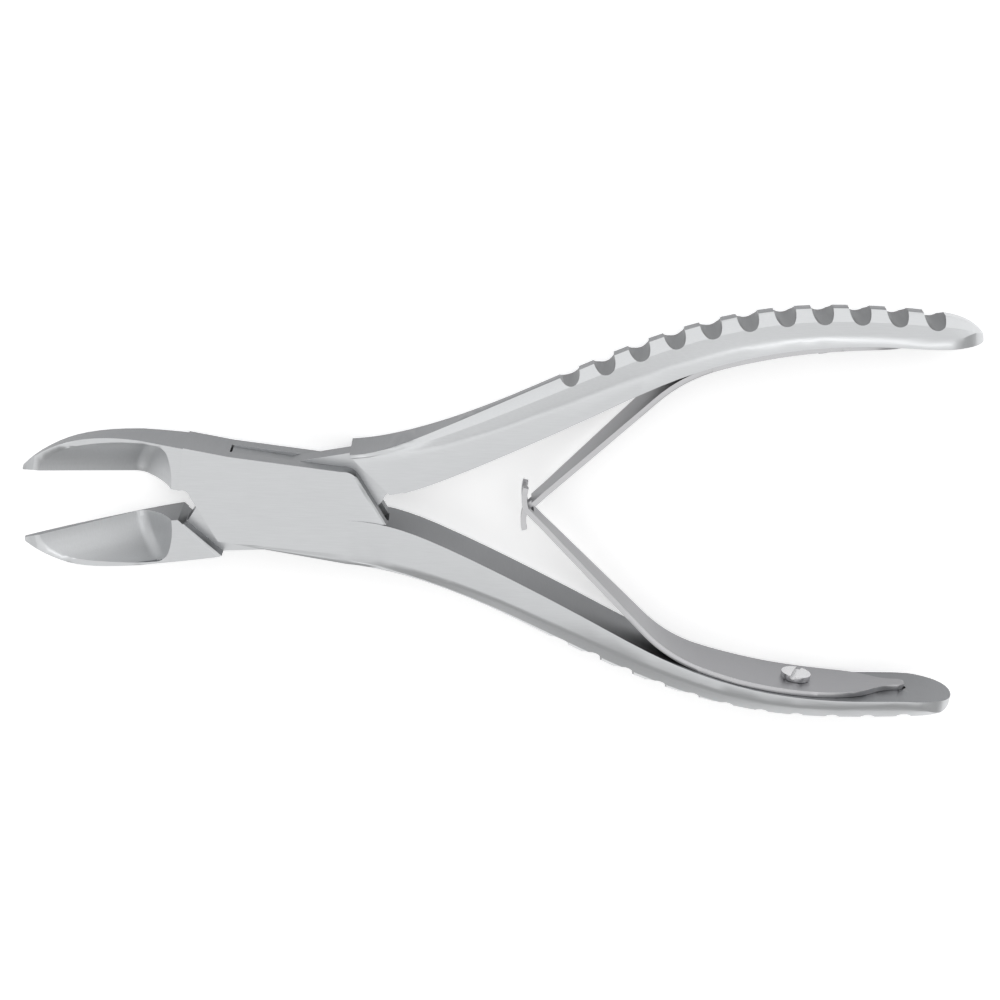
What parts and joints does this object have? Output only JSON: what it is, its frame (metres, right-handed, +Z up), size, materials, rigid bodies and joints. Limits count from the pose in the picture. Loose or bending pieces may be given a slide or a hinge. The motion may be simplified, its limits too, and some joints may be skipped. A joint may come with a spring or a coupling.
{
  "type": "bone cutting forceps",
  "caption": "Spring-opened bone cutting forceps: swept, hollow-ground cutting jaws, a box joint on a flush pin, bowed handles with finger scallops, and interlocked leaf springs.",
  "frame": {"origin": "on the pivot axis, at the flat outer face of the lower cheek of the box joint", "axes": "+X from the pivot towards the handles, half-way between them; +Y towards the handle that passes through the box; +Z up, along the pivot axis, out of the upper cheek"},
  "size_m": [0.1363, 0.0624, 0.0118],
  "materials": {
    "arm_steel": "satin polished stainless steel",
    "pin_steel": "ground flush with the cheeks and polished with them",
    "spring_steel": "polished spring steel",
    "screw_steel": "polished"
  },
  "bodies": {
    "box_arm": {"box_arm": "arm_steel", "pivot_pin": "pin_steel", "lower_spring_screw": "screw_steel"},
    "tongue_arm": {"tongue_arm": "arm_steel", "upper_spring_screw": "screw_steel"},
    "lower_spring": {"lower_leaf_spring": "spring_steel"},
    "upper_spring": {"upper_leaf_spring": "spring_steel"}
  },
  "joints": [
    {"name": "lock_pivot", "type": "hinge", "parent": "box_arm", "child": "tongue_arm", "pos_m": [0, 0, 0], "axis": [0, 0, -1], "range_deg": [0, 15], "stiffness_Nm_per_rad": 1.2, "springref_deg": -3.44},
    {"name": "lower_leaf_flex", "type": "hinge", "parent": "box_arm", "child": "lower_spring", "pos_m": [0.05342, -0.01968, 0.00425], "axis": [0, 0, 1], "range_deg": [0, 10.6], "deforming": ["lower_leaf_spring"]},
    {"name": "upper_leaf_flex", "type": "hinge", "parent": "tongue_arm", "child": "upper_spring", "pos_m": [0.05342, 0.01968, 0.00425], "axis": [0, 0, -1], "range_deg": [0, 10.6], "deforming": ["upper_leaf_spring"]}
  ],
  "couplings": [
    {"joint": "lower_leaf_flex", "follows": "lock_pivot", "ratio": 0.7},
    {"joint": "upper_leaf_flex", "follows": "lock_pivot", "ratio": 0.7}
  ]
}
